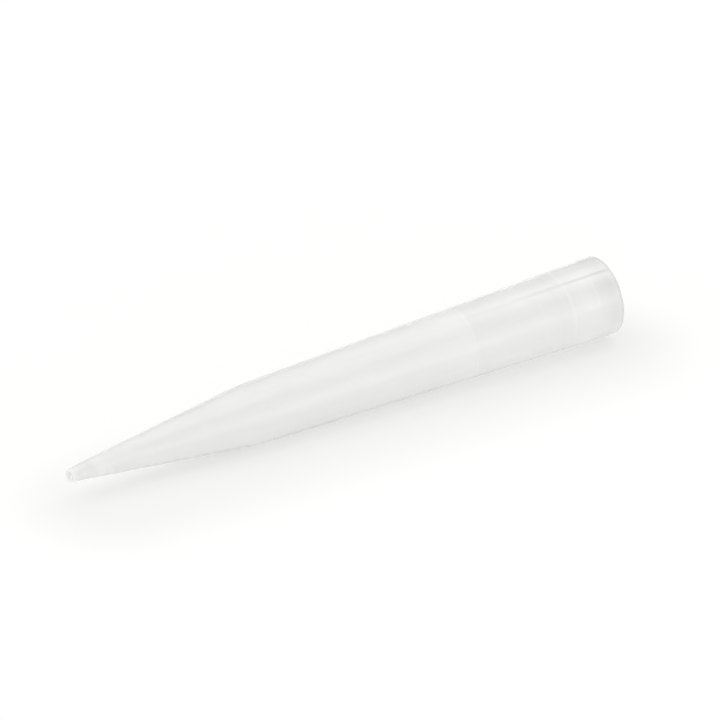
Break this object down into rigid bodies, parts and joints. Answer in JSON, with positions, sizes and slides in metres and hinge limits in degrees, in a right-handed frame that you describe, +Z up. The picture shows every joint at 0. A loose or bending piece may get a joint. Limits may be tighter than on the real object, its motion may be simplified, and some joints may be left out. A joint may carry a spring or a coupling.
{
  "type": "pipette tip",
  "caption": "Slender hollow cone, open at both ends, with a thin ringed socket at the wide end, an inner shoulder and a steeper nose that narrows to a fine orifice.",
  "frame": {"origin": "centre of the footprint on the surface that the tip lies on", "axes": "+X along the tip towards its mouth, +Z up; the tip lies on its straight body taper, so its own axis rises 1.28 degrees towards the mouth and the fine end is clear of the surface"},
  "size_m": [0.07, 0.009, 0.009],
  "materials": {
    "natural_polypropylene": "translucent, smooth moulded"
  },
  "bodies": {
    "root": {"pipette_tip": "natural_polypropylene"}
  },
  "joints": []
}
